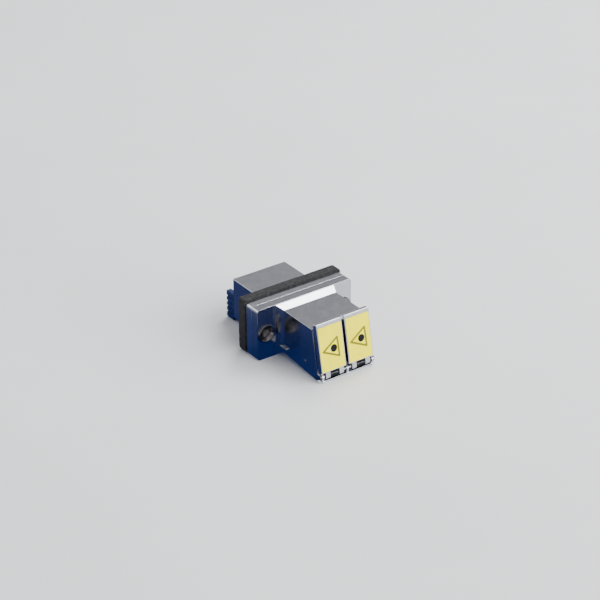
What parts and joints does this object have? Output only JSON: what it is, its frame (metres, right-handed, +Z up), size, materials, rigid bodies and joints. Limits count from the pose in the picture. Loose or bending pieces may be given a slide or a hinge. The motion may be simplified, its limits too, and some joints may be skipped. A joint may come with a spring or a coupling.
{
  "type": "duplex fibre-optic adapter",
  "caption": "Shielded duplex fibre-optic bulkhead adapter with a two-eared flange, a gasket behind it, and spring-loaded shutter doors over the front ports.",
  "frame": {"origin": "centre of the overall footprint, on the plane that the feet and the flange stand on", "axes": "+Z up, +Y from the shutter doors to the rear ports, X across the two ports"},
  "size_m": [0.0242, 0.034, 0.0125],
  "materials": {
    "nickel_body": "nickel-plated casting, satin to polished",
    "door_metal": "nickel-plated, fine satin",
    "bushing_metal": "turned, plated",
    "pin_steel": "drawn stainless pin",
    "spring_steel": "drawn spring wire",
    "gasket": "fibrous conductive foam",
    "label": "printed polyester film",
    "port_plastic": "fine moulded texture",
    "holder_plastic": "moulded",
    "zirconia": "ground ceramic"
  },
  "bodies": {
    "housing": {"front_housing": "nickel_body", "rear_housing": "nickel_body", "emi_gasket": "gasket", "front_port_frame": "port_plastic", "rear_port_frame": "port_plastic", "front_sleeve_holder": "holder_plastic", "rear_sleeve_holder": "holder_plastic", "left_alignment_sleeve": "zirconia", "right_alignment_sleeve": "zirconia", "hinge_pin": "pin_steel", "left_torsion_spring": "spring_steel", "right_torsion_spring": "spring_steel", "left_mount_bushing": "bushing_metal", "right_mount_bushing": "bushing_metal", "left_insert_pin": "pin_steel", "right_insert_pin": "pin_steel"},
    "left_door": {"left_door": "door_metal", "left_door_label": "label"},
    "right_door": {"right_door": "door_metal", "right_door_label": "label"}
  },
  "joints": [
    {"name": "left_door_hinge", "type": "hinge", "parent": "housing", "child": "left_door", "pos_m": [-0.00345, -0.01625, 0.0013], "axis": [1, 0, 0], "range_deg": [0, 100], "stiffness_Nm_per_rad": 0.0003, "springref_deg": -85.94, "deforming": ["left_torsion_spring"]},
    {"name": "right_door_hinge", "type": "hinge", "parent": "housing", "child": "right_door", "pos_m": [0.00345, -0.01625, 0.0013], "axis": [1, 0, 0], "range_deg": [0, 100], "stiffness_Nm_per_rad": 0.0003, "springref_deg": -85.94, "deforming": ["right_torsion_spring"]}
  ]
}
